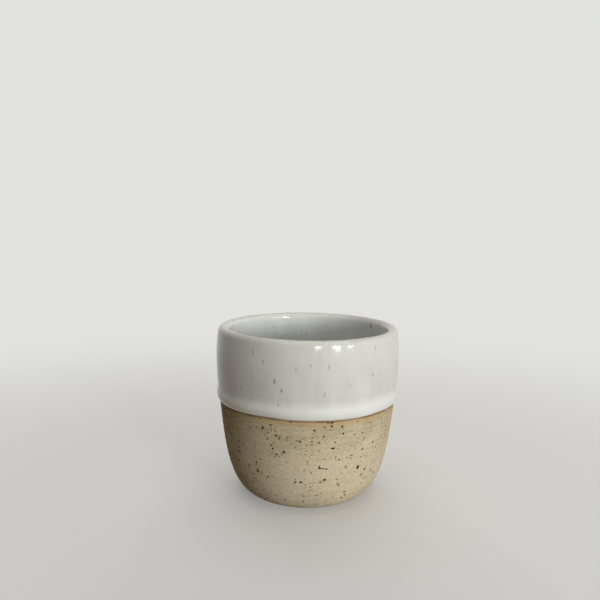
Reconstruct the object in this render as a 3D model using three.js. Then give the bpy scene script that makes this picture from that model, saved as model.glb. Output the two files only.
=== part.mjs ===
// A wheel-thrown stoneware cappuccino cup without a handle.
// The clay body stands on a trimmed foot ring. A white glaze lines the inside, and the upper part was
// dipped rim-down in the same glaze, which ran a little and stopped in a thick rolled edge.
// Millimetres, +Z up, origin at the centre of the foot on the surface that the cup stands on.
import * as THREE from 'three';

// Clay body
const bodyHeight = 74.2; // table to the crest of the clay lip
const shoulderRadius = 40.4; // widest ring of the clay
const shoulderDrop = 10.5; // widest ring, below the crest of the lip
const bellyRadius = 38.2; // where the heel's curve runs into the wall
const bellyHeight = 31;
const bellyFlare = 0.12; // radius gained for each millimetre of height at the belly
const wallThickness = 4.2;
const lipThickness = 3.4;
const lipTuck = 0.7; // the outside of the lip stands in from the widest ring
const lipLean = 0.13; // the outside leans in by this for each millimetre where it meets the lip
const floorThickness = 6.2; // table to the inside of the floor
const floorDish = 0.5; // the middle of the floor lies lower than its edge
const wellRadius = 13; // shallow middle of the floor
const wellReach = 13; // length of the inner heel curve's handle along the floor
const hollowDrop = 12.4; // length of its handle down the wall

// Foot, trimmed on the wheel
const footRadius = 24.1;
const footRingWidth = 6.5;
const footRecess = 1.6; // depth of the hollow inside the ring
const recessBevel = 2; // width of the slope from the ring into the hollow
const heelAngle = THREE.MathUtils.degToRad(10.4); // slope of the heel where it leaves the table
const heelReach = 9.5; // length of the heel curve's handle at the foot
const heelRise = 13.8; // length of its handle at the belly

// Glaze coats
const bondGap = 0.15; // between a coat and the clay that carries it, and between the two coats
const dipDepth = 31.3; // crest of the lip down to the edge of the dipped glaze, outside
const dipInside = 9; // the same, inside
const dipThickness = 0.45;
const beadThickness = 0.95; // the rolled lower edge
const beadNose = 2.4; // height of its rounded underside
const beadHeight = 5.8; // the whole roll, up to the stretch that drained into it
const drainedThickness = 0.32; // the thinnest place, just above the roll
const linerThickness = 0.4;
const edgeThickness = 0.2; // a coat where it ends

// Facets
const turnSteps = 48; // around the axis
const heelSteps = 10;
const wallSteps = 7;
const collarSteps = 3;
const quarterLipSteps = 4;
const beadSteps = 6;
const beadCrowding = 1.6; // the roll's steps lie closer together at its lower edge

const point = (radius, height) => new THREE.Vector2(radius, height);

// A curve between two points of the profile, with a handle from each end.
function sweep(start, startHandle, endHandle, end, steps) {
  const from = start.clone().add(startHandle);
  const to = end.clone().add(endHandle);
  return new THREE.CubicBezierCurve(start, from, to, end).getPoints(steps);
}

// A wall that leaves its low end at the flare, rises evenly and stands upright at its high end.
function flaredWall(low, high) {
  const third = (high.y - low.y) / 3;
  return sweep(low, point(bellyFlare * third, third), point(0, -third), high, wallSteps);
}

// The stretch from the widest ring up to the lip. It starts upright and leans in at its high end.
function collar(low, high, lean) {
  const third = (high.y - low.y) / 3;
  return sweep(low, point(0, third), point(lean * third, -third), high, collarSteps);
}

// Joins runs of points that share their end points.
const join = (...runs) => runs.flatMap((run, i) => (i ? run.slice(1) : run));

// Outline of the clay: up the outside from the foot to the crest of the lip.
const shoulderHeight = bodyHeight - shoulderDrop;
const lipRadius = shoulderRadius - lipTuck;
const lipRound = lipThickness / 2;
const lipMiddle = point(lipRadius - lipRound, bodyHeight - lipRound);
const lipArc = (from, to) => new THREE.EllipseCurve(
  lipMiddle.x, lipMiddle.y, lipRound, lipRound, from, to,
).getPoints(quarterLipSteps);
const outerLip = lipArc(Math.atan(lipLean), Math.PI / 2);
const innerLip = lipArc(Math.PI / 2, Math.PI);
const foot = point(footRadius, 0);
const belly = point(bellyRadius, bellyHeight);
const shoulder = point(shoulderRadius, shoulderHeight);
const heelStart = point(heelReach * Math.cos(heelAngle), heelReach * Math.sin(heelAngle));
const outside = join(
  sweep(foot, heelStart, point(-bellyFlare * heelRise, -heelRise), belly, heelSteps),
  flaredWall(belly, shoulder),
  collar(shoulder, outerLip[0], lipLean),
  outerLip,
);

// And on over the lip and down the inside to the middle of the floor.
const innerShoulder = point(shoulderRadius - wallThickness, shoulderHeight);
const innerBelly = point(bellyRadius - wallThickness, bellyHeight);
const well = point(wellRadius, floorThickness);
const wellMiddle = point(0, floorThickness - floorDish);
const inside = join(
  innerLip,
  collar(innerShoulder, innerLip.at(-1), 0).reverse(),
  flaredWall(innerBelly, innerShoulder).reverse(),
  sweep(innerBelly, point(-bellyFlare * hollowDrop, -hollowDrop), point(wellReach, 0), well, heelSteps),
  [well, wellMiddle],
);

// The point where a rising or falling run of points passes a height.
function crossing(run, height) {
  const rising = run.at(-1).y > run[0].y;
  const i = run.findIndex((p) => (rising ? p.y > height : p.y < height));
  const share = (height - run[i - 1].y) / (run[i].y - run[i - 1].y);
  return run[i - 1].clone().lerp(run[i], share);
}

// The points moved off the clay, square to it. The outline has the open side on its right, and on the
// axis the move is upright.
function lift(run, distances) {
  return run.map((p, i) => {
    const before = run[Math.max(i - 1, 0)];
    const after = run[Math.min(i + 1, run.length - 1)];
    const along = after.clone().sub(before).normalize();
    const off = p.x === 0 ? point(0, 1) : point(along.y, -along.x);
    return p.clone().addScaledVector(off, distances[i]);
  });
}

// Section of a coat on a run of the clay's outline: the open face there and the bonded face back.
function coatSection(run, thicknesses) {
  const open = lift(run, thicknesses.map((thickness) => bondGap + thickness));
  const bonded = lift(run, run.map(() => bondGap));
  return [...open, ...bonded.reverse()];
}

// Thickness of the dipped coat above its edge: a round nose, then thinner where the glaze drained into
// the roll, and the even coat from the widest ring up.
function dippedThickness(rise) {
  if (rise < beadNose) {
    const round = Math.sqrt(1 - (1 - rise / beadNose) ** 2);
    return THREE.MathUtils.lerp(edgeThickness, beadThickness, round);
  }
  if (rise < beadHeight) {
    const thinning = THREE.MathUtils.smoothstep(rise, beadNose, beadHeight);
    return THREE.MathUtils.lerp(beadThickness, drainedThickness, thinning);
  }
  const recovery = THREE.MathUtils.smoothstep(rise, beadHeight, dipDepth - shoulderDrop);
  return THREE.MathUtils.lerp(drainedThickness, dipThickness, recovery);
}

// A solid of revolution about +Z from a section of points (radius, height).
function turned(name, section, material) {
  const geometry = new THREE.LatheGeometry(section, turnSteps);
  geometry.rotateX(Math.PI / 2);
  const mesh = new THREE.Mesh(geometry, material);
  mesh.name = name;
  return mesh;
}

function stonewareBody() {
  const ringInside = footRadius - footRingWidth;
  const underside = [
    point(0, footRecess),
    point(ringInside - recessBevel, footRecess),
    point(ringInside, 0),
  ];
  const clay = new THREE.MeshStandardMaterial({ color: '#c3b08a', roughness: 0.85, metalness: 0 });
  return turned('stoneware_body', [...underside, ...join(outside, inside)], clay);
}

function dippedGlaze() {
  const edge = bodyHeight - dipDepth;
  const innerEdge = bodyHeight - dipInside;
  const roll = Array.from({ length: beadSteps + 1 }, (_, i) => {
    const rise = beadHeight * (i / beadSteps) ** beadCrowding;
    return crossing(outside, edge + rise);
  });
  const outer = [...roll, ...outside.filter((p) => p.y > edge + beadHeight)];
  const inner = inside.slice(1).filter((p) => p.y > innerEdge);
  const thicknesses = [
    ...outer.map((p) => dippedThickness(p.y - edge)),
    ...inner.map(() => dipThickness),
    edgeThickness,
  ];
  const section = coatSection([...outer, ...inner, crossing(inside, innerEdge)], thicknesses);
  const glaze = new THREE.MeshStandardMaterial({ color: '#e4e1d8', roughness: 0.12, metalness: 0 });
  return turned('dipped_glaze', [...section, section[0]], glaze);
}

function linerGlaze() {
  const top = bodyHeight - dipInside - bondGap;
  const run = [crossing(inside, top), ...inside.filter((p) => p.y < top)];
  const thicknesses = run.map((_, i) => (i ? linerThickness : edgeThickness));
  const section = coatSection(run, thicknesses);
  const fromAxis = [...section.slice(run.length), ...section.slice(0, run.length)];
  const glaze = new THREE.MeshStandardMaterial({ color: '#e8e5dc', roughness: 0.12, metalness: 0 });
  return turned('liner_glaze', fromAxis, glaze);
}

const cup = new THREE.Group();
cup.add(stonewareBody(), dippedGlaze(), linerGlaze());

export default cup;
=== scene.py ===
import math

import bpy
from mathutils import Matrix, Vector, noise


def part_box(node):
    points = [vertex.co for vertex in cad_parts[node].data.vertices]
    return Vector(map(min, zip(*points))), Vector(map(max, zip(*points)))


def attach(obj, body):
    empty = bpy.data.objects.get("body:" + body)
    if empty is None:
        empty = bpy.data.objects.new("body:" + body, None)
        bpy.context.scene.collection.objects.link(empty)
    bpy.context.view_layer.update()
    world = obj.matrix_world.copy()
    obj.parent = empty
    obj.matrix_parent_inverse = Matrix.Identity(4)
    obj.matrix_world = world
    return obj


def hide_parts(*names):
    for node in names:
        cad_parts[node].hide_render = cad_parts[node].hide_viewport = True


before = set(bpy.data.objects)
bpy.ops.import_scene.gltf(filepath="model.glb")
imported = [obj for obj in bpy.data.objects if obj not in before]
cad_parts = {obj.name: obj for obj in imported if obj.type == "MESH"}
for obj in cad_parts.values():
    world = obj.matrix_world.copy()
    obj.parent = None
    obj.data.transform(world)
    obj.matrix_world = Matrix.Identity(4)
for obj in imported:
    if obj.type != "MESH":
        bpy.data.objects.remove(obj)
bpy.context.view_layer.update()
mm = 0.001
print("frame loaded:", ", ".join(sorted(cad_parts)))

_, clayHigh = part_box("stoneware_body")
dipLow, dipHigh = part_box("dipped_glaze")
linerLow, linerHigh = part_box("liner_glaze")


# Node wiring

class Wire:
    def __init__(self, tree, socket=None):
        self.tree = tree
        self.socket = socket

    # any node: its settings come first, then the values or links of its sockets
    def node(self, kind, settings, sockets, output=0):
        made = self.tree.nodes.new(kind)
        for name, value in settings.items():
            setattr(made, name, value)
        for name, value in sockets.items():
            if isinstance(value, Wire):
                self.tree.links.new(value.socket, made.inputs[name])
            else:
                made.inputs[name].default_value = value
        return Wire(self.tree, made.outputs[output])

    def also(self, output):
        return Wire(self.tree, self.socket.node.outputs[output])

    def maths(self, operation, first, second=0.0, clamp=False):
        settings = {"operation": operation, "use_clamp": clamp}
        return self.node("ShaderNodeMath", settings, {0: first, 1: second})

    def __add__(self, other):
        return self.maths("ADD", self, other)

    def __radd__(self, other):
        return self.maths("ADD", other, self)

    def __sub__(self, other):
        return self.maths("SUBTRACT", self, other)

    def __rsub__(self, other):
        return self.maths("SUBTRACT", other, self)

    def __mul__(self, other):
        return self.maths("MULTIPLY", self, other)

    def __rmul__(self, other):
        return self.maths("MULTIPLY", other, self)

    def __lt__(self, other):
        return self.maths("LESS_THAN", self, other)

    def __gt__(self, other):
        return self.maths("GREATER_THAN", self, other)

    # 0 below low, 1 above high, smooth between
    def rise(self, low, high):
        return self.node(
            "ShaderNodeMapRange",
            {"interpolation_type": "SMOOTHSTEP"},
            {"Value": self, "From Min": low, "From Max": high},
        )

    def parts(self):
        split = self.node("ShaderNodeSeparateXYZ", {}, {0: self})
        return split, split.also(1), split.also(2)

    def stretched(self, by):
        return self.node("ShaderNodeVectorMath", {"operation": "MULTIPLY"}, {0: self, 1: by})

    def shifted(self, by):
        return self.node("ShaderNodeVectorMath", {"operation": "ADD"}, {0: self, 1: by})

    def length(self):
        return self.node("ShaderNodeVectorMath", {"operation": "LENGTH"}, {0: self}, "Value")

    def grain(self, size, detail, roughness=0.5):
        return self.node(
            "ShaderNodeTexNoise",
            {"noise_dimensions": "3D"},
            {"Vector": self, "Scale": 1 / size, "Detail": detail, "Roughness": roughness},
        )

    # colour mixed towards another by this factor
    def mix(self, first, second):
        return self.node("ShaderNodeMix", {"data_type": "RGBA"}, {0: self, 6: first, 7: second}, 2)


# display values to the linear colour a socket takes, by the sRGB curve
def tone(red, green, blue):
    def linear(value):
        share = value / 255
        return share / 12.92 if share <= 0.04045 else ((share + 0.055) / 1.055) ** 2.4
    return (linear(red), linear(green), linear(blue), 1.0)


def newMaterial(name):
    material = bpy.data.materials.new(name)
    material.use_nodes = True
    tree = material.node_tree
    shader = tree.nodes["Principled BSDF"]
    start = Wire(tree)
    place = start.node("ShaderNodeTexCoord", {}, {}, "Object")
    millimetres = place.stretched((1 / mm, 1 / mm, 1 / mm))
    return material, shader, start, millimetres


def plug(wire, shader, socket):
    wire.tree.links.new(wire.socket, shader.inputs[socket])


def bumped(shader, height, strength, distance):
    sockets = {"Strength": strength, "Distance": distance, "Height": height}
    plug(height.node("ShaderNodeBump", {}, sockets), shader, "Normal")


# Section of the cup, as (radius, height) points in metres

cupSection = {
    "lipCrest": clayHigh.z,
    "shoulderRadius": clayHigh.x,
    "shoulderDrop": 10.5 * mm,
    "bellyRadius": 38.2 * mm,
    "bellyHeight": 31 * mm,
    "flare": 0.12,
    "wall": 4.2 * mm,
    "lipWidth": 3.4 * mm,
    "lipTuck": 0.7 * mm,
    "lipLean": 0.13,
    "floor": 6.2 * mm,
    "floorDish": 0.5 * mm,
    "wellRadius": 13 * mm,
    "wellReach": 13 * mm,
    "hollowDrop": 12.4 * mm,
    "footRadius": 24.1 * mm,
    "footRing": 6.5 * mm,
    "footRecess": 1.6 * mm,
    "recessBevel": 2 * mm,
    "heelAngle": math.radians(10.4),
    "heelReach": 9.5 * mm,
    "heelRise": 13.8 * mm,
    "pointGap": 0.8 * mm,
    "fewestSteps": 3,
    "lipSteps": 9,
    "onAxis": 1e-9,             # a radius below this counts as the axis
}


def point(radius, height):
    return Vector((radius, height))


def sweep(start, startHandle, endHandle, end):
    first = start + startHandle
    second = end + endHandle
    steps = max(cupSection["fewestSteps"], round((end - start).length / cupSection["pointGap"]))
    run = []
    for i in range(steps + 1):
        t = i / steps
        s = 1 - t
        run.append(s ** 3 * start + 3 * s * s * t * first + 3 * s * t * t * second + t ** 3 * end)
    return run


def joined(*runs):
    return [p for i, run in enumerate(runs) for p in (run[1:] if i else run)]


def flaredWall(low, high):
    third = (high.y - low.y) / 3
    return sweep(low, point(cupSection["flare"] * third, third), point(0, -third), high)


def arc(middle, radius, fromAngle, toAngle):
    steps = cupSection["lipSteps"]
    angles = [fromAngle + (toAngle - fromAngle) * i / steps for i in range(steps + 1)]
    return [middle + radius * point(math.cos(angle), math.sin(angle)) for angle in angles]


def cupOutline(s):
    shoulderHeight = s["lipCrest"] - s["shoulderDrop"]
    lipRadius = s["lipWidth"] / 2
    lipMiddle = point(s["shoulderRadius"] - s["lipTuck"] - lipRadius, s["lipCrest"] - lipRadius)
    outerLip = arc(lipMiddle, lipRadius, math.atan(s["lipLean"]), math.pi / 2)
    innerLip = arc(lipMiddle, lipRadius, math.pi / 2, math.pi)
    belly = point(s["bellyRadius"], s["bellyHeight"])
    shoulder = point(s["shoulderRadius"], shoulderHeight)
    foot = point(s["footRadius"], 0)
    heelStart = s["heelReach"] * point(math.cos(s["heelAngle"]), math.sin(s["heelAngle"]))
    third = (outerLip[0].y - shoulderHeight) / 3
    outside = joined(
        sweep(foot, heelStart, point(-s["flare"] * s["heelRise"], -s["heelRise"]), belly),
        flaredWall(belly, shoulder),
        sweep(shoulder, point(0, third), point(s["lipLean"] * third, -third), outerLip[0]),
        outerLip,
    )
    innerShoulder = point(s["shoulderRadius"] - s["wall"], shoulderHeight)
    innerBelly = point(s["bellyRadius"] - s["wall"], s["bellyHeight"])
    hollow = point(-s["flare"] * s["hollowDrop"], -s["hollowDrop"])
    well = point(s["wellRadius"], s["floor"])
    wellThird = s["wellRadius"] / 3
    middle = point(0, s["floor"] - s["floorDish"])
    inside = joined(
        innerLip,
        sweep(innerLip[-1], point(0, -third), point(0, third), innerShoulder),
        flaredWall(innerBelly, innerShoulder)[::-1],
        sweep(innerBelly, hollow, point(s["wellReach"], 0), well),
        sweep(well, point(-wellThird, 0), point(wellThird, 0), middle),
    )
    return outside, inside


def crossing(run, height):
    for before, after in zip(run, run[1:]):
        if min(before.y, after.y) <= height <= max(before.y, after.y):
            return before.lerp(after, (height - before.y) / (after.y - before.y))


# the points moved square off the clay; the open side is on the right of the run
def lifted(run, distances):
    moved = []
    for i, p in enumerate(run):
        along = (run[min(i + 1, len(run) - 1)] - run[max(i - 1, 0)]).normalized()
        off = point(0, 1) if p.x < cupSection["onAxis"] else point(along.y, -along.x)
        moved.append(p + off * distances[i])
    return moved


def smooth(low, high, value):
    share = min(1.0, max(0.0, (value - low) / (high - low)))
    return share * share * (3 - 2 * share)


# A section drawn point by point and spun on the wheel axis

wheel = {
    "mergeGap": 0.004 * mm,
    "smoothAngle": math.radians(40),
}


def spun(name, section, steps):
    bpy.ops.object.select_all(action="DESELECT")
    bpy.ops.mesh.primitive_plane_add(size=mm, location=(section[0].x, 0, section[0].y))
    piece = bpy.context.object
    piece.name = name
    bpy.ops.object.mode_set(mode="EDIT")
    bpy.ops.mesh.select_all(action="SELECT")
    bpy.ops.mesh.merge(type="CENTER")
    for before, after in zip(section, section[1:]):
        step = after - before
        bpy.ops.mesh.extrude_region_move(TRANSFORM_OT_translate={"value": (step.x, 0, step.y)})
    bpy.ops.mesh.select_all(action="SELECT")
    bpy.ops.mesh.spin(steps=steps, angle=math.tau, center=(0, 0, 0), axis=(0, 0, 1))
    bpy.ops.mesh.select_all(action="SELECT")
    bpy.ops.mesh.remove_doubles(threshold=wheel["mergeGap"])
    bpy.ops.mesh.normals_make_consistent(inside=False)
    bpy.ops.object.mode_set(mode="OBJECT")
    bpy.ops.object.transform_apply(location=True, rotation=True, scale=True)
    bpy.ops.object.shade_smooth_by_angle(angle=wheel["smoothAngle"])
    return piece


# each vertex moved by what a maker's hand did there
def worked(piece, move):
    vertices = piece.data.vertices
    normals = [v.normal.copy() for v in vertices]
    for vertex, normal in zip(vertices, normals):
        vertex.co = move(vertex.co.copy(), normal)
    piece.data.update()


# above 0 on a face that looks away from the axis
def outward(co, normal):
    return normal.dot(Vector((co.x, co.y, 0)))


def handed(piece, node, material):
    piece.data.materials.clear()
    piece.data.materials.append(material)
    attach(piece, "root")
    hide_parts(node)


outside, inside = cupOutline(cupSection)
clayRun = joined(outside, inside)

# Clay body

clayBody = {
    "turnSteps": 160,
    "wobble": 0.07 * mm,
    "wobbleSize": 16 * mm,
    "wobbleStart": (0.5 * mm, 8 * mm),      # the foot stays level
    "ridge": 0.035 * mm,
    "ridgePitch": 3.6 * mm,
    "ridgeStart": (2 * mm, 12 * mm),
    "ridgeEnd": (42 * mm, 46 * mm),
    "footTurning": 0.04 * mm,
    "footPitch": 1.9 * mm,
    "footCentre": (0, 3 * mm),              # no turning lines in the very middle
    "facingDown": -0.9,
}


def makeClayBody(s):
    c = cupSection
    ring = c["footRadius"] - c["footRing"]
    flat = ring - c["recessBevel"]
    recess = [point(c["pointGap"] * i, c["footRecess"]) for i in range(math.ceil(flat / c["pointGap"]))]
    slope = sweep(
        point(flat, c["footRecess"]),
        point(c["recessBevel"] / 2, 0),
        point(-c["recessBevel"] / 2, 0),
        point(ring, 0),
    )
    piece = spun("clay_body", [*recess, *slope, *clayRun], s["turnSteps"])

    def move(co, normal):
        radius = math.hypot(co.x, co.y)
        turn = math.atan2(co.y, co.x)
        lift = s["wobble"] * noise.noise(co / s["wobbleSize"]) * smooth(*s["wobbleStart"], co.z)
        if outward(co, normal) > 0:
            shown = smooth(*s["ridgeStart"], co.z) * (1 - smooth(*s["ridgeEnd"], co.z))
            lift += s["ridge"] * shown * math.sin(math.tau * co.z / s["ridgePitch"] - turn)
        if co.z > c["footRecess"] / 2 and normal.z < s["facingDown"]:
            shown = smooth(*s["footCentre"], radius)
            lift += s["footTurning"] * shown * math.sin(math.tau * radius / s["footPitch"] + turn)
        return co + normal * lift

    worked(piece, move)
    return piece


# Dipped coat

dipCoat = {
    "turnSteps": 192,
    "edge": dipLow.z,
    "insideEnd": linerHigh.z - 3 * mm,
    "insideTaper": 9 * mm,
    "insideThin": 0.44 * mm,
    "sink": 0.15 * mm,
    "coat": 0.6 * mm,
    "drained": 0.46 * mm,
    "recovery": 14 * mm,
    "roll": 1.14 * mm,
    "rollNose": 2.5 * mm,
    "rollHeight": 6.2 * mm,
    "rollPoints": 18,
    "rollCrowding": 1.8,                    # the points lie closer together at the nose
    "rollClear": 0.3 * mm,                  # from the last of them to the next point of the clay
    "waves": [(2, 4.72, 0.22 * mm), (5, 5.16, 0.16 * mm), (9, 0.9, 0.05 * mm)],     # count, phase, size
    "waveFade": (2 * mm, 12 * mm),          # above the edge
    "swell": 0.06 * mm,
    "swellSize": 11 * mm,
    "swellShift": Vector((3, 7, 1)),
    "innerSwell": 0.3,
    "outerBand": 3 * mm,                    # this near to the widest radius is the outside
}


def edgeWave(turn):
    return sum(size * math.sin(count * turn + phase) for count, phase, size in dipCoat["waves"])


def makeDipCoat(s):
    # outside: a round nose, then thinner where the glaze drained into the roll
    def outerThickness(up):
        if up < s["rollNose"]:
            return s["roll"] * math.sqrt(max(0.0, 1 - (1 - up / s["rollNose"]) ** 2))
        recovered = s["rollHeight"] + s["recovery"]
        drained = s["roll"] + (s["drained"] - s["roll"]) * smooth(s["rollNose"], s["rollHeight"], up)
        return drained + (s["coat"] - s["drained"]) * smooth(s["rollHeight"], recovered, up)

    # inside: thinning out until it runs under the face of the liner
    def innerThickness(up):
        return s["insideThin"] + (s["coat"] - s["insideThin"]) * smooth(0, s["insideTaper"], up)

    shares = [(i / s["rollPoints"]) ** s["rollCrowding"] for i in range(s["rollPoints"] + 1)]
    outer = [crossing(outside, s["edge"] + s["rollHeight"] * share) for share in shares]
    outer += [p for p in outside if p.y > s["edge"] + s["rollHeight"] + s["rollClear"]]
    inner = [p for p in inside[1:] if p.y > s["insideEnd"]] + [crossing(inside, s["insideEnd"])]
    thickness = [outerThickness(p.y - s["edge"]) for p in outer]
    thickness += [innerThickness(p.y - s["insideEnd"]) for p in inner]
    run = outer + inner
    openFace = lifted(run, thickness)
    sunkFace = lifted(run, [-s["sink"]] * len(run))
    piece = spun("dip_coat", [*openFace, *sunkFace[::-1], openFace[0]], s["turnSteps"])

    def move(co, normal):
        turn = math.atan2(co.y, co.x)
        isOuter = math.hypot(co.x, co.y) > cupSection["shoulderRadius"] - s["outerBand"]
        if isOuter:
            co.z += edgeWave(turn) * (1 - smooth(*s["waveFade"], co.z - s["edge"]))
        swell = s["swell"] * noise.noise(co / s["swellSize"] + s["swellShift"])
        return co + normal * swell * (1 if isOuter else s["innerSwell"])

    worked(piece, move)
    return piece


# Poured liner

linerCoat = {
    "turnSteps": 160,
    "top": linerHigh.z + 3 * mm,
    "sink": 0.2 * mm,
    "coat": 0.53 * mm,
    "throwing": 0.16 * mm,
    "throwingPitch": 6.5 * mm,
    "throwingStart": (2 * mm, 9 * mm),      # from the middle of the floor
    "throwingEnd": (9 * mm, 20 * mm),       # below the top
    "facingUp": 0.1,
}


def makeLinerCoat(s):
    run = [crossing(inside, s["top"]), *[p for p in inside if p.y < s["top"]]]
    openFace = lifted(run, [s["coat"]] * len(run))
    sunkFace = lifted(run, [-s["sink"]] * len(run))
    piece = spun("liner_coat", [*sunkFace[::-1], *openFace], s["turnSteps"])

    def move(co, normal):
        isOpen = normal.z > s["facingUp"] or outward(co, normal) < 0
        if not isOpen:
            return co
        radius = math.hypot(co.x, co.y)
        turn = math.atan2(co.y, co.x)
        along = radius + co.z - linerLow.z
        shown = smooth(*s["throwingStart"], radius) * smooth(*s["throwingEnd"], s["top"] - co.z)
        lift = s["throwing"] * shown * math.sin(math.tau * along / s["throwingPitch"] - turn)
        return co + normal * lift

    worked(piece, move)
    return piece


# Finishes: places on the cup are in millimetres, and a pair is where a change starts and ends

grainMiddle = 0.5

speckRules = {
    "leastSize": 0.42,
    "sizeSpread": 0.75,
    "frontAngle": -90,
    "frontEnd": (-14.0, -4.0),      # the front has marks instead of scattered large specks
}


# soft-edged spots in the cells of a cloud of points, each with its own size, most of them small
def specks(place, layer, crowd=1.0):
    cell = layer["cell"]
    spot = place.shifted(layer["shift"])
    cells = spot.node("ShaderNodeTexVoronoi", {"feature": "F1"}, {"Vector": spot, "Scale": 1 / cell})
    size, chosen, _ = cells.also("Color").parts()
    reach = (size * size * speckRules["sizeSpread"] + speckRules["leastSize"]) * (layer["radius"] / cell)
    spotMask = spot.maths("MULTIPLY", reach - cells, cell / layer["softness"], clamp=True)
    return spotMask * (chosen < crowd * layer["share"])


# single specks that stand out, on the wall or a coat of it
def marks(spot, places, coat, fade):
    total = 0.0
    for right, height, half, tall in places:
        turn = math.radians(right + speckRules["frontAngle"])
        reach = crossing(outside, height * mm).x / mm + coat
        back = (-reach * math.cos(turn), -reach * math.sin(turn), -height)
        away = spot.shifted(back).stretched((1 / half, 1 / half, 1 / (half * tall))).length()
        total = spot.maths("MAXIMUM", total, 1 - away.rise(*fade))
    return total


# places pushed about by a noise, so that round spots get uneven edges
def raggedBy(place, ragged, amount):
    centred = place.shifted((-amount / 2, -amount / 2, -amount / 2))
    return place.node(
        "ShaderNodeVectorMath",
        {"operation": "MULTIPLY_ADD"},
        {0: ragged, 1: (amount, amount, amount), 2: centred},
    )


def waveInShader(place):
    x, y, _ = place.parts()
    turn = place.maths("ARCTAN2", y, x)
    total = 0.0
    for count, phase, size in dipCoat["waves"]:
        total = total + place.maths("SINE", turn * count + phase) * (size / mm)
    return total


clayFinish = {
    "light": tone(217, 204, 177),
    "deep": tone(178, 166, 137),
    "flashed": tone(188, 160, 115),
    # dark line where the glaze stops: partly iron, partly painted shade under the glaze roll
    "edgeLineAndShade": tone(112, 84, 56),
    "speckDark": tone(56, 39, 10),
    "speckBrown": tone(80, 58, 22),
    "speckFaint": tone(122, 102, 62),
    "ior": 1.45,
    "specular": 0.05,
    "roughness": 0.84,
    "roughnessGrain": 0.1,
    "speckPolish": 0.1,
    "bumpStrength": 0.35,
    "bumpDepth": 0.1 * mm,
    "fineRelief": 0.35,
    "lineRelief": 0.9,
    "speckRelief": 0.4,

    # grains are size, detail and sometimes roughness
    "lineStretch": (0.05, 0.05, 1.0),
    "lineGrain": (0.55, 3.0, 0.6),
    "lineShare": 0.34,
    "lineStart": (0.0, 1.5),
    "lineEnd": (9.0, 26.0),
    "lineLoss": 0.7,
    "cloudGrain": (9.0, 3.0),
    "cloudShare": 0.38,
    "fineGrain": (0.5, 2.0),
    "fineShare": 0.62,
    "mottleGrain": (1.1, 1.0),
    "mottleRange": (0.36, 0.64),
    "mottleShare": 0.1,
    # painted light: the lower wall is made paler towards the foot, as if lit from below
    "underLightReach": (4.0, 24.0),
    "underLightShare": 0.18,
    "shadeRange": (0.32, 0.95),

    # reaches are depths below the glaze edge
    "patchStretch": (1.0, 1.0, 0.6),
    "patchGrain": (7.0, 2.0),
    "patchRange": (0.3, 0.65),
    "flashReach": (1.0, 4.0),
    "flashPatchy": 0.5,
    "flashEven": 0.5,
    "flashStrength": 0.8,
    "scoreRange": (0.56, 0.64),
    "scoreStart": (1.6, 2.2),
    "scoreEnd": (5.0, 8.0),
    "scoreStrength": 0.4,
    # the dark line where the glaze stops: partly an iron line, partly painted shade under the glaze roll
    "edgeReach": (0.5, 1.1),
    "edgeRange": (0.35, 0.6),
    "edgePatchy": 0.4,
    "edgeEven": 0.42,

    "raggedSize": 0.625,
    "raggedDetail": 2.0,
    "raggedSpecks": 0.42,
    "raggedMarks": 0.15,
    "dragStretch": (0.62, 0.62, 1.5),
    "crowdGrain": (7.0, 1.0),
    "crowdRange": (0.3, 0.7),
    "crowdSpan": 0.6,
    "crowdLeast": 0.35,
    "buried": {"shift": (1, 8, 2), "cell": 3.4, "radius": 0.95, "share": 0.5, "softness": 0.5},
    "buriedStrength": 0.55,
    "faint": {"shift": (0, 0, 0), "cell": 0.95, "radius": 0.42, "share": 0.3, "softness": 0.18},
    "faintStrength": 0.8,
    "medium": {"shift": (11, 5, 3), "cell": 1.6, "radius": 0.55, "share": 0.62, "softness": 0.2},
    "mediumStrength": 0.9,
    "dashes": {"shift": (4, 9, 6), "cell": 1.7, "radius": 0.5, "share": 0.55, "softness": 0.18},
    "dashStrength": 0.9,
    "large": {"shift": (7, 2, 8), "cell": 4.6, "radius": 0.78, "share": 0.8, "softness": 0.14},
    "markFade": (0.55, 1.15),       # in half widths of the mark
    # degrees to the right of the front, height, half width, height for its width
    "marks": [
        (35, 20.5, 0.88, 1.2), (15.5, 31, 0.95, 0.5), (20.5, 40, 0.58, 1), (14, 40.5, 0.58, 1),
        (21.5, 37, 0.52, 1), (11.5, 17, 0.74, 0.9), (-27.5, 38.5, 0.58, 1.1), (-19, 36, 0.56, 1),
        (-21.5, 30, 0.5, 1.1), (8, 22.5, 0.95, 0.42), (12, 22, 0.8, 0.45), (-34, 18, 0.56, 0.9),
        (-4, 16, 0.6, 1), (-7.5, 16, 0.48, 1), (46, 30, 0.56, 1), (28, 9.5, 0.7, 0.7),
        (14, 42, 0.9, 0.45), (4, 39, 0.7, 0.6),
    ],
}


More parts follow.
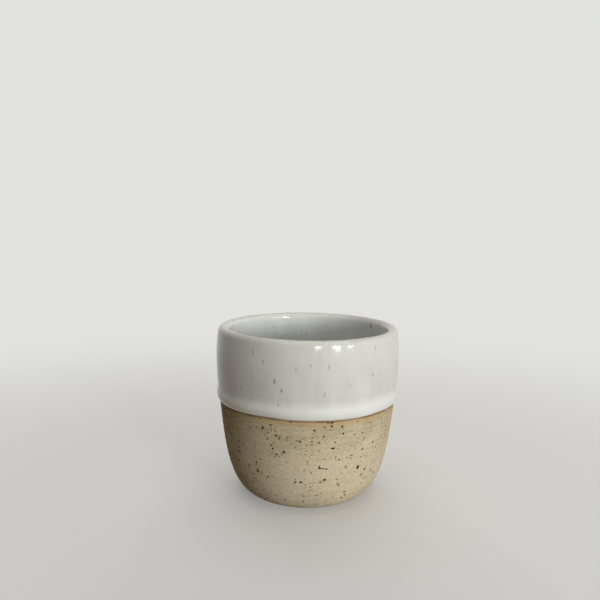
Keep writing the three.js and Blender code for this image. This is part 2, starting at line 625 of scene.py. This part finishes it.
def clayMaterial(s):
    material, shader, start, place = newMaterial("speckled_clay")
    _, depth, height = place.parts()
    below = waveInShader(place) + dipCoat["edge"] / mm - height

    # dragged horizontal lines from throwing and trimming, clouds and fine grain; paler towards the foot,
    # which is painted light standing in for light thrown up from below
    lines = place.stretched(s["lineStretch"]).grain(*s["lineGrain"])
    lineZone = below.rise(*s["lineStart"]) * (1 - below.rise(*s["lineEnd"]) * s["lineLoss"])
    cloud = place.grain(*s["cloudGrain"])
    fine = place.grain(*s["fineGrain"])
    mottle = place.grain(*s["mottleGrain"]).rise(*s["mottleRange"])
    shade = cloud * s["cloudShare"] + lines * s["lineShare"]
    shade = shade + fine * s["fineShare"] + mottle * s["mottleShare"]
    # painted light: paler towards the foot, standing in for light from below
    paintedUnderLight = below.rise(*s["underLightReach"]) * s["underLightShare"]
    colour = (shade - paintedUnderLight).rise(*s["shadeRange"]).mix(s["light"], s["deep"])

    # warm flashing under the glaze edge, scored lines, and a thin dark line where the glaze stops, partly
    # an iron line and partly painted shade under the nose of the glaze roll
    patches = place.stretched(s["patchStretch"]).grain(*s["patchGrain"]).rise(*s["patchRange"])
    flash = (1 - below.rise(*s["flashReach"])) * (patches * s["flashPatchy"] + s["flashEven"])
    colour = (flash * s["flashStrength"]).mix(colour, s["flashed"])
    scored = lines.rise(*s["scoreRange"]) * below.rise(*s["scoreStart"]) * (1 - below.rise(*s["scoreEnd"]))
    colour = (scored * s["scoreStrength"]).mix(colour, s["speckFaint"])
    edgeLineAndShadeStrength = cloud.rise(*s["edgeRange"]) * s["edgePatchy"] + s["edgeEven"]
    colour = ((1 - below.rise(*s["edgeReach"])) * edgeLineAndShadeStrength).mix(colour, s["edgeLineAndShade"])

    # iron specks, some of them dragged sideways by the trimming tool
    noiseSockets = {"Vector": place, "Scale": 1 / s["raggedSize"], "Detail": s["raggedDetail"]}
    ragged = place.node("ShaderNodeTexNoise", {}, noiseSockets, "Color")
    rough = raggedBy(place, ragged, s["raggedSpecks"])
    crowd = place.grain(*s["crowdGrain"]).rise(*s["crowdRange"]) * s["crowdSpan"] + s["crowdLeast"]
    buried = specks(rough, s["buried"])
    faint = specks(rough, s["faint"], crowd)
    medium = specks(rough, s["medium"], crowd)
    dashes = specks(rough.stretched(s["dragStretch"]), s["dashes"], crowd)
    scattered = specks(rough, s["large"]) * depth.rise(*speckRules["frontEnd"])
    single = marks(raggedBy(place, ragged, s["raggedMarks"]), s["marks"], 0, s["markFade"])
    large = start.maths("MAXIMUM", scattered, single)
    colour = (buried * s["buriedStrength"]).mix(colour, s["speckFaint"])
    colour = (faint * s["faintStrength"]).mix(colour, s["speckFaint"])
    colour = (medium * s["mediumStrength"]).mix(colour, s["speckBrown"])
    colour = (dashes * s["dashStrength"]).mix(colour, s["speckBrown"])
    colour = large.mix(colour, s["speckDark"])
    plug(colour, shader, "Base Color")

    spots = start.maths("MAXIMUM", large, medium)
    unevenness = (fine - grainMiddle) * s["roughnessGrain"]
    plug(s["roughness"] - spots * s["speckPolish"] + unevenness, shader, "Roughness")
    surface = fine * s["fineRelief"] + lines * lineZone * s["lineRelief"] - spots * s["speckRelief"]
    bumped(shader, surface, s["bumpStrength"], s["bumpDepth"])
    shader.inputs["IOR"].default_value = s["ior"]
    shader.inputs["Specular IOR Level"].default_value = s["specular"]
    return material


glazeFinish = {
    "thin": tone(215, 216, 211),
    "thick": tone(231, 233, 230),
    "broken": tone(212, 204, 186),
    "cast": tone(203, 204, 198),
    "speck": tone(139, 127, 126),
    "speckCore": tone(92, 82, 80),
    "edge": tone(168, 148, 122),
    "ior": 1.52,
    "roughness": 0.07,
    "roughnessCloud": 0.05,
    "bumpStrength": 0.25,
    "bumpDepth": 0.35 * mm,
    "swellGrain": (5.0, 1.0),
    "swellRelief": 0.45,
    "pitGrain": (1.1, 1.0),
    "pitRelief": 0.015,

    "runStretch": (1.0, 1.0, 0.16),
    "runGrain": (2.4, 2.0),
    "runShare": 0.3,
    "cloudStretch": (1.0, 1.0, 0.6),
    "cloudGrain": (8.0, 2.0),
    "cloudShare": 0.7,
    "castRange": (0.35, 0.8),
    "mouthReach": (2.0, 4.0),       # inwards from the widest radius
    "mouthRange": (0.35, 0.65),
    "mouthPatchy": 0.4,
    "mouthEven": 0.45,
    "milkyReach": (5.0, 14.0),      # below the lip
    "milkyRange": (0.48, 0.68),
    "milkyStrength": 0.28,
    "rollReach": (4.2, 9.0),        # above the edge
    "rollRagged": 2.2,
    "rollStrength": 0.72,
    "rollVeil": 0.75,
    "edgeReach": (0.0, 0.18),       # above the edge

    "bleedStretch": (1.0, 1.0, 0.36),
    "halo": {"shift": (2, 4, 0), "cell": 2.7, "radius": 0.82, "share": 0.9, "softness": 0.5},
    "haloStrength": 0.5,
    "core": {"shift": (2, 4, 0), "cell": 2.7, "radius": 0.42, "share": 0.45, "softness": 0.25},
    "coreStrength": 0.75,
    "trailStretch": (1.0, 1.0, 0.13),
    "trail": {"shift": (5, 1, 2), "cell": 2.6, "radius": 0.42, "share": 0.5, "softness": 0.5},
    "trailStrength": 0.2,
    "markFade": (0.15, 1.55),       # in half widths of the mark
    "markCore": (0.45, 1.0),
    "markCoreStrength": 0.62,
    # degrees to the right of the front, height, half width, height for its width
    "marks": [
        (-19, 58.5, 0.55, 2.6), (-15, 55, 0.55, 1.9), (-17, 49, 0.45, 1.9), (-26, 66, 0.4, 1.8),
        (39.5, 60, 0.42, 2.4),
    ],
    "faintMarks": [
        (-7, 64, 0.4, 1.6), (1, 65.5, 0.36, 2.6), (11, 65, 0.36, 3), (9, 54, 0.36, 3),
        (-33, 69, 0.45, 2.4), (41.5, 70.5, 0.3, 4), (24, 57, 0.36, 2), (-42, 53, 0.4, 2),
    ],

    "crestReach": (0.3, 0.8),       # below the lip
    "crestRagged": 0.8,
    "crestStrength": 0.75,
    "lipSpots": {"shift": (0, 0, 0), "cell": 1.5, "radius": 0.3, "share": 0.4, "softness": 0.15},
    "lipSpotReach": (0.6, 1.4),     # below the lip
    "lipSpotStrength": 0.8,
}


def glazeMaterial(name, s, dipped):
    material, shader, start, place = newMaterial(name)
    x, y, height = place.parts()

    # thicker glaze is whiter; streaks where it ran
    runs = place.stretched(s["runStretch"]).grain(*s["runGrain"])
    cloud = place.stretched(s["cloudStretch"]).grain(*s["cloudGrain"])
    streaks = runs * s["runShare"] + cloud * s["cloudShare"]
    colour = streaks.rise(*s["castRange"]).mix(s["thin"], s["cast"])
    radius = place.maths("SQRT", x * x + y * y)
    mouth = (cupSection["shoulderRadius"] / mm - radius).rise(*s["mouthReach"])
    pooled = cloud.rise(*s["mouthRange"]) * s["mouthPatchy"] + s["mouthEven"]
    colour = (pooled * mouth).mix(colour, s["thick"])
    veil = 1.0
    if dipped:
        above = height - dipCoat["edge"] / mm - waveInShader(place)
        belowLip = dipHigh.z / mm - height
        milky = cloud.rise(*s["milkyRange"]) * (1 - belowLip.rise(*s["milkyReach"]))
        colour = (milky * (1 - mouth) * s["milkyStrength"]).mix(colour, s["thick"])
        raggedAbove = above + (runs - grainMiddle) * s["rollRagged"]
        rollMask = (1 - raggedAbove.rise(*s["rollReach"])) * s["rollStrength"]
        colour = rollMask.mix(colour, s["thick"])
        colour = (1 - above.rise(*s["edgeReach"])).mix(colour, s["edge"])
        veil = 1 - rollMask * s["rollVeil"]

    # iron bleeding through, drawn out downwards
    tall = place.stretched(s["bleedStretch"])
    scattered = start.maths("MAXIMUM", y.rise(*speckRules["frontEnd"]), mouth)
    halo = specks(tall, s["halo"]) * scattered
    core = specks(tall, s["core"]) * scattered
    if dipped:
        coat = dipCoat["coat"] / mm
        single = marks(place, s["marks"], coat, s["markFade"])
        halo = start.maths("MAXIMUM", halo, marks(place, s["faintMarks"], coat, s["markFade"]))
        halo = start.maths("MAXIMUM", halo, single)
        core = start.maths("MAXIMUM", core, single.rise(*s["markCore"]) * s["markCoreStrength"])
    trail = specks(place.stretched(s["trailStretch"]), s["trail"])
    colour = (trail * s["trailStrength"] * veil).mix(colour, s["speck"])
    colour = (halo * s["haloStrength"] * veil).mix(colour, s["speck"])
    colour = (core * s["coreStrength"] * veil).mix(colour, s["speckCore"])

    if dipped:
        # the glaze breaks to a warm line on the crest of the lip
        raggedBelow = belowLip - (runs - grainMiddle) * s["crestRagged"]
        crest = 1 - raggedBelow.rise(*s["crestReach"])
        colour = (crest * s["crestStrength"]).mix(colour, s["broken"])
        lipSpots = specks(place, s["lipSpots"]) * (1 - belowLip.rise(*s["lipSpotReach"]))
        colour = (lipSpots * s["lipSpotStrength"]).mix(colour, s["speckCore"])
    plug(colour, shader, "Base Color")
    plug(cloud * s["roughnessCloud"] + s["roughness"], shader, "Roughness")
    swell = place.grain(*s["swellGrain"]) * s["swellRelief"] + place.grain(*s["pitGrain"]) * s["pitRelief"]
    bumped(shader, swell, s["bumpStrength"], s["bumpDepth"])
    shader.inputs["IOR"].default_value = s["ior"]
    return material


clay = makeClayBody(clayBody)
handed(clay, "stoneware_body", clayMaterial(clayFinish))
print("clay body spun and trimmed")

dip = makeDipCoat(dipCoat)
handed(dip, "dipped_glaze", glazeMaterial("dipped_glaze", glazeFinish, True))
print("dipped coat with its rolled edge")

liner = makeLinerCoat(linerCoat)
handed(liner, "liner_glaze", glazeMaterial("liner_glaze", glazeFinish, False))
print("liner coat with throwing rings")


# Stage, lights and camera

stageLook = {
    "floorRadius": 6.0,
    "floorSides": 96,
    "floorRoughness": 0.9,
    "floorColour": tone(228, 227, 223),
    "bounceColour": tone(124, 108, 82),
    "paleColour": tone(226, 226, 223),
    "nearShare": 0.28,
    "nearReach": 0.06,
    "farReach": 0.45,
    "ambient": (0.038, 0.032, 0.024, 1.0),
}


# camera, mirror and glass rays see the pale stage; light that bounces does not
def seen(start):
    rays = start.node("ShaderNodeLightPath", {}, {}, "Is Camera Ray")
    mirrored = start.maths("MAXIMUM", rays, rays.also("Is Glossy Ray"))
    return start.maths("MAXIMUM", mirrored, rays.also("Is Transmission Ray"))


def makeFloor(s):
    bpy.ops.object.select_all(action="DESELECT")
    bpy.ops.mesh.primitive_circle_add(vertices=s["floorSides"], radius=s["floorRadius"], fill_type="NGON")
    floor = bpy.context.object
    floor.name = "floor"
    material = bpy.data.materials.new("pale_floor")
    material.use_nodes = True
    tree = material.node_tree
    shader = tree.nodes["Principled BSDF"]
    shader.inputs["Roughness"].default_value = s["floorRoughness"]
    shader.inputs["Specular IOR Level"].default_value = 0.0
    start = Wire(tree)
    plug(seen(start).mix(s["bounceColour"], s["floorColour"]), shader, "Base Color")
    away = start.node("ShaderNodeTexCoord", {}, {}, "Object").length()
    share = away.rise(s["nearReach"], s["farReach"]) * (1 - s["nearShare"]) + s["nearShare"]
    glow = start.node("ShaderNodeEmission", {}, {"Color": s["paleColour"], "Strength": 1.0})
    mixed = start.node(
        "ShaderNodeMixShader", {}, {0: seen(start) * share, 1: Wire(tree, shader.outputs[0]), 2: glow}
    )
    tree.links.new(mixed.socket, tree.nodes["Material Output"].inputs["Surface"])
    floor.data.materials.append(material)


def makeWorld(s):
    world = bpy.data.worlds.new("studio")
    bpy.context.scene.world = world
    world.use_nodes = True
    tree = world.node_tree
    background = tree.nodes["Background"]
    plug(seen(Wire(tree)).mix(s["ambient"], s["paleColour"]), background, "Color")
    background.inputs["Strength"].default_value = 1.0


studioLights = {
    "distance": 0.9,
    # degrees to the right of the camera, degrees up, width, height, power, shown as a mirror image
    "panes": [
        (11.5, 9.8, 0.12, 0.16, 0.8, True),
        (33.5, 8.6, 0.13, 0.14, 2.3, True),
        (50.5, 7.4, 0.035, 0.1, 0.6, True),
    ],
    "softs": [
        (45, 5.5, 0.9, 0.2, 3.35, False),
        (0, 90, 0.9, 0.9, 3.5, True),
        (181, 15, 1.4, 1.0, 9.0, False),
    ],
}


def makeLamp(name, distance, azimuth, elevation, width, height, power, mirrored):
    turn = math.radians(azimuth)
    up = math.radians(elevation)
    towards = Vector((math.sin(turn) * math.cos(up), -math.cos(turn) * math.cos(up), math.sin(up)))
    aim = Vector((0, 0, clayHigh.z / 2))
    bpy.ops.object.light_add(type="AREA", location=aim + towards * distance)
    lamp = bpy.context.object
    lamp.name = name
    lamp.rotation_euler = towards.to_track_quat("Z", "Y").to_euler()
    lamp.data.shape = "RECTANGLE"
    lamp.data.size = width
    lamp.data.size_y = height
    lamp.data.energy = power
    lamp.visible_glossy = mirrored


def makeLights(s):
    for i, pane in enumerate(s["panes"]):
        makeLamp(f"window_pane_{i + 1}", s["distance"], *pane)
    for i, soft in enumerate(s["softs"]):
        makeLamp(f"soft_lamp_{i + 1}", s["distance"], *soft)


photoCamera = {
    "place": (-3.77 * mm, -269.0 * mm, 119.4 * mm),
    "focalPixels": 604.0,
    "framePixels": 600.0,
    "downTilt": math.radians(7.08),
    "roll": math.radians(0.79),
    "sensor": 36.0,
    "clipStart": 0.01,
}


def makeCamera(s):
    bpy.ops.object.camera_add(location=s["place"])
    camera = bpy.context.object
    camera.rotation_mode = "ZYX"
    camera.rotation_euler = (math.pi / 2 - s["downTilt"], 0, s["roll"])
    camera.data.sensor_width = s["sensor"]
    camera.data.lens = s["sensor"] * s["focalPixels"] / s["framePixels"]
    camera.data.clip_start = s["clipStart"]
    bpy.context.scene.camera = camera


makeFloor(stageLook)
makeWorld(stageLook)
makeLights(studioLights)
makeCamera(photoCamera)
bpy.context.scene.view_settings.view_transform = "Standard"
print("stage, lights and camera set")
